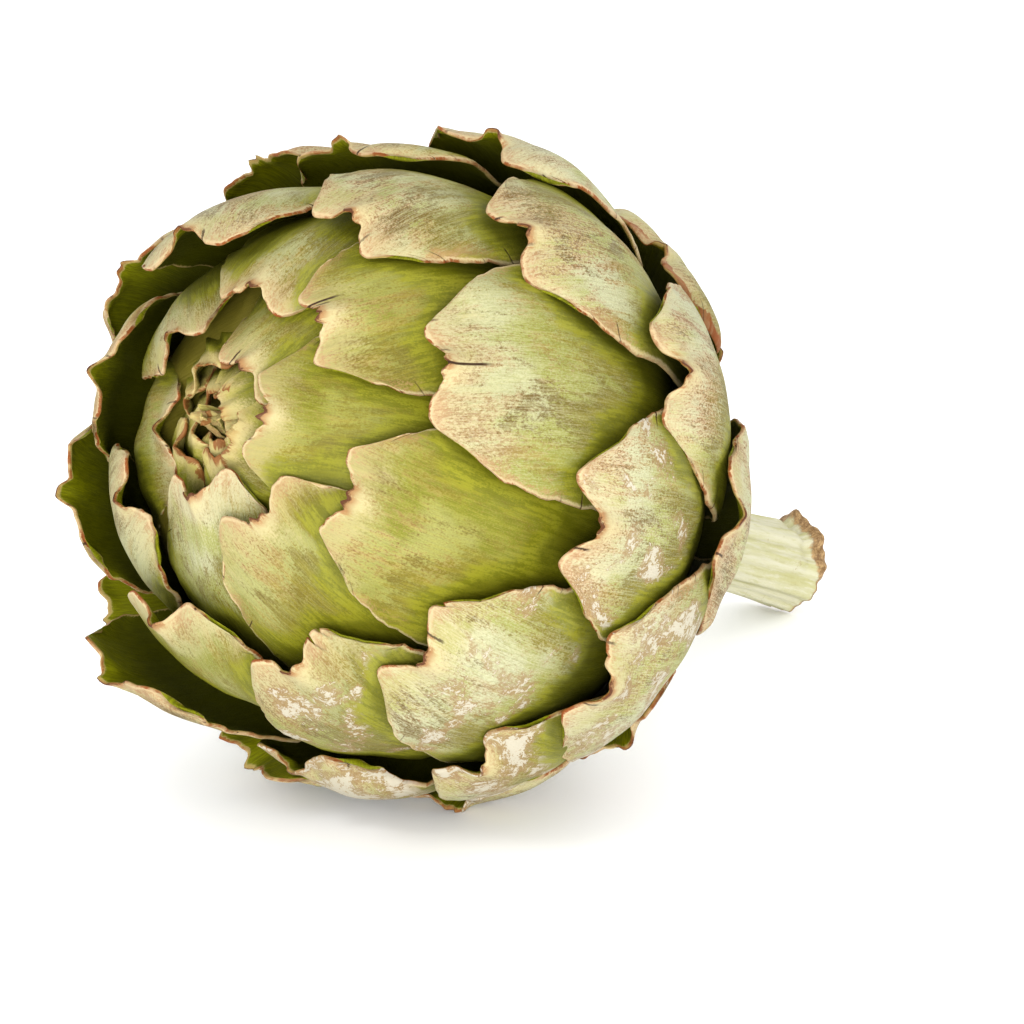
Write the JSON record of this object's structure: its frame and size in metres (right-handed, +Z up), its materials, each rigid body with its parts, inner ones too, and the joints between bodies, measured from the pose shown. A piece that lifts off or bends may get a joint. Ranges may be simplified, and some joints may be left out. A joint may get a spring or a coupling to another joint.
{
  "type": "artichoke",
  "caption": "Globe artichoke with a short cut stem, lying on its side, 51 notched green bracts round a closed bud.",
  "frame": {"origin": "the middle of the flat spot under the head on which it rests, on the surface", "axes": "+Z up from the surface, +X level along the head's axis towards the stem's cut end; the tip points to -X and 23 degrees upwards"},
  "size_m": [0.1675, 0.1164, 0.112],
  "materials": {
    "bract": "satin",
    "young_leaf": "satin",
    "stem": "matte"
  },
  "bodies": {
    "root": {"stem_and_heart": "stem", "heart_leaves": "young_leaf", "bract_01": "bract", "bract_02": "bract", "bract_03": "bract", "bract_04": "bract", "bract_05": "bract", "bract_06": "bract", "bract_07": "bract", "bract_08": "bract", "bract_09": "bract", "bract_10": "bract", "bract_11": "bract", "bract_12": "bract", "bract_13": "bract", "bract_14": "bract", "bract_15": "bract", "bract_16": "bract", "bract_17": "bract", "bract_18": "bract", "bract_19": "bract", "bract_20": "bract", "bract_21": "bract", "bract_22": "bract", "bract_23": "bract", "bract_24": "bract", "bract_25": "bract", "bract_26": "bract", "bract_27": "bract", "bract_28": "bract", "bract_29": "bract", "bract_30": "bract", "bract_31": "bract", "bract_32": "bract", "bract_33": "bract", "bract_34": "bract", "bract_35": "bract", "bract_36": "bract", "bract_37": "bract", "bract_38": "bract", "bract_39": "bract", "bract_40": "bract", "bract_41": "bract", "bract_42": "bract", "bract_43": "bract", "bract_44": "bract", "bract_45": "bract", "bract_46": "bract", "bract_47": "bract", "bract_48": "bract", "bract_49": "bract", "bract_50": "bract", "bract_51": "bract"}
  },
  "joints": []
}
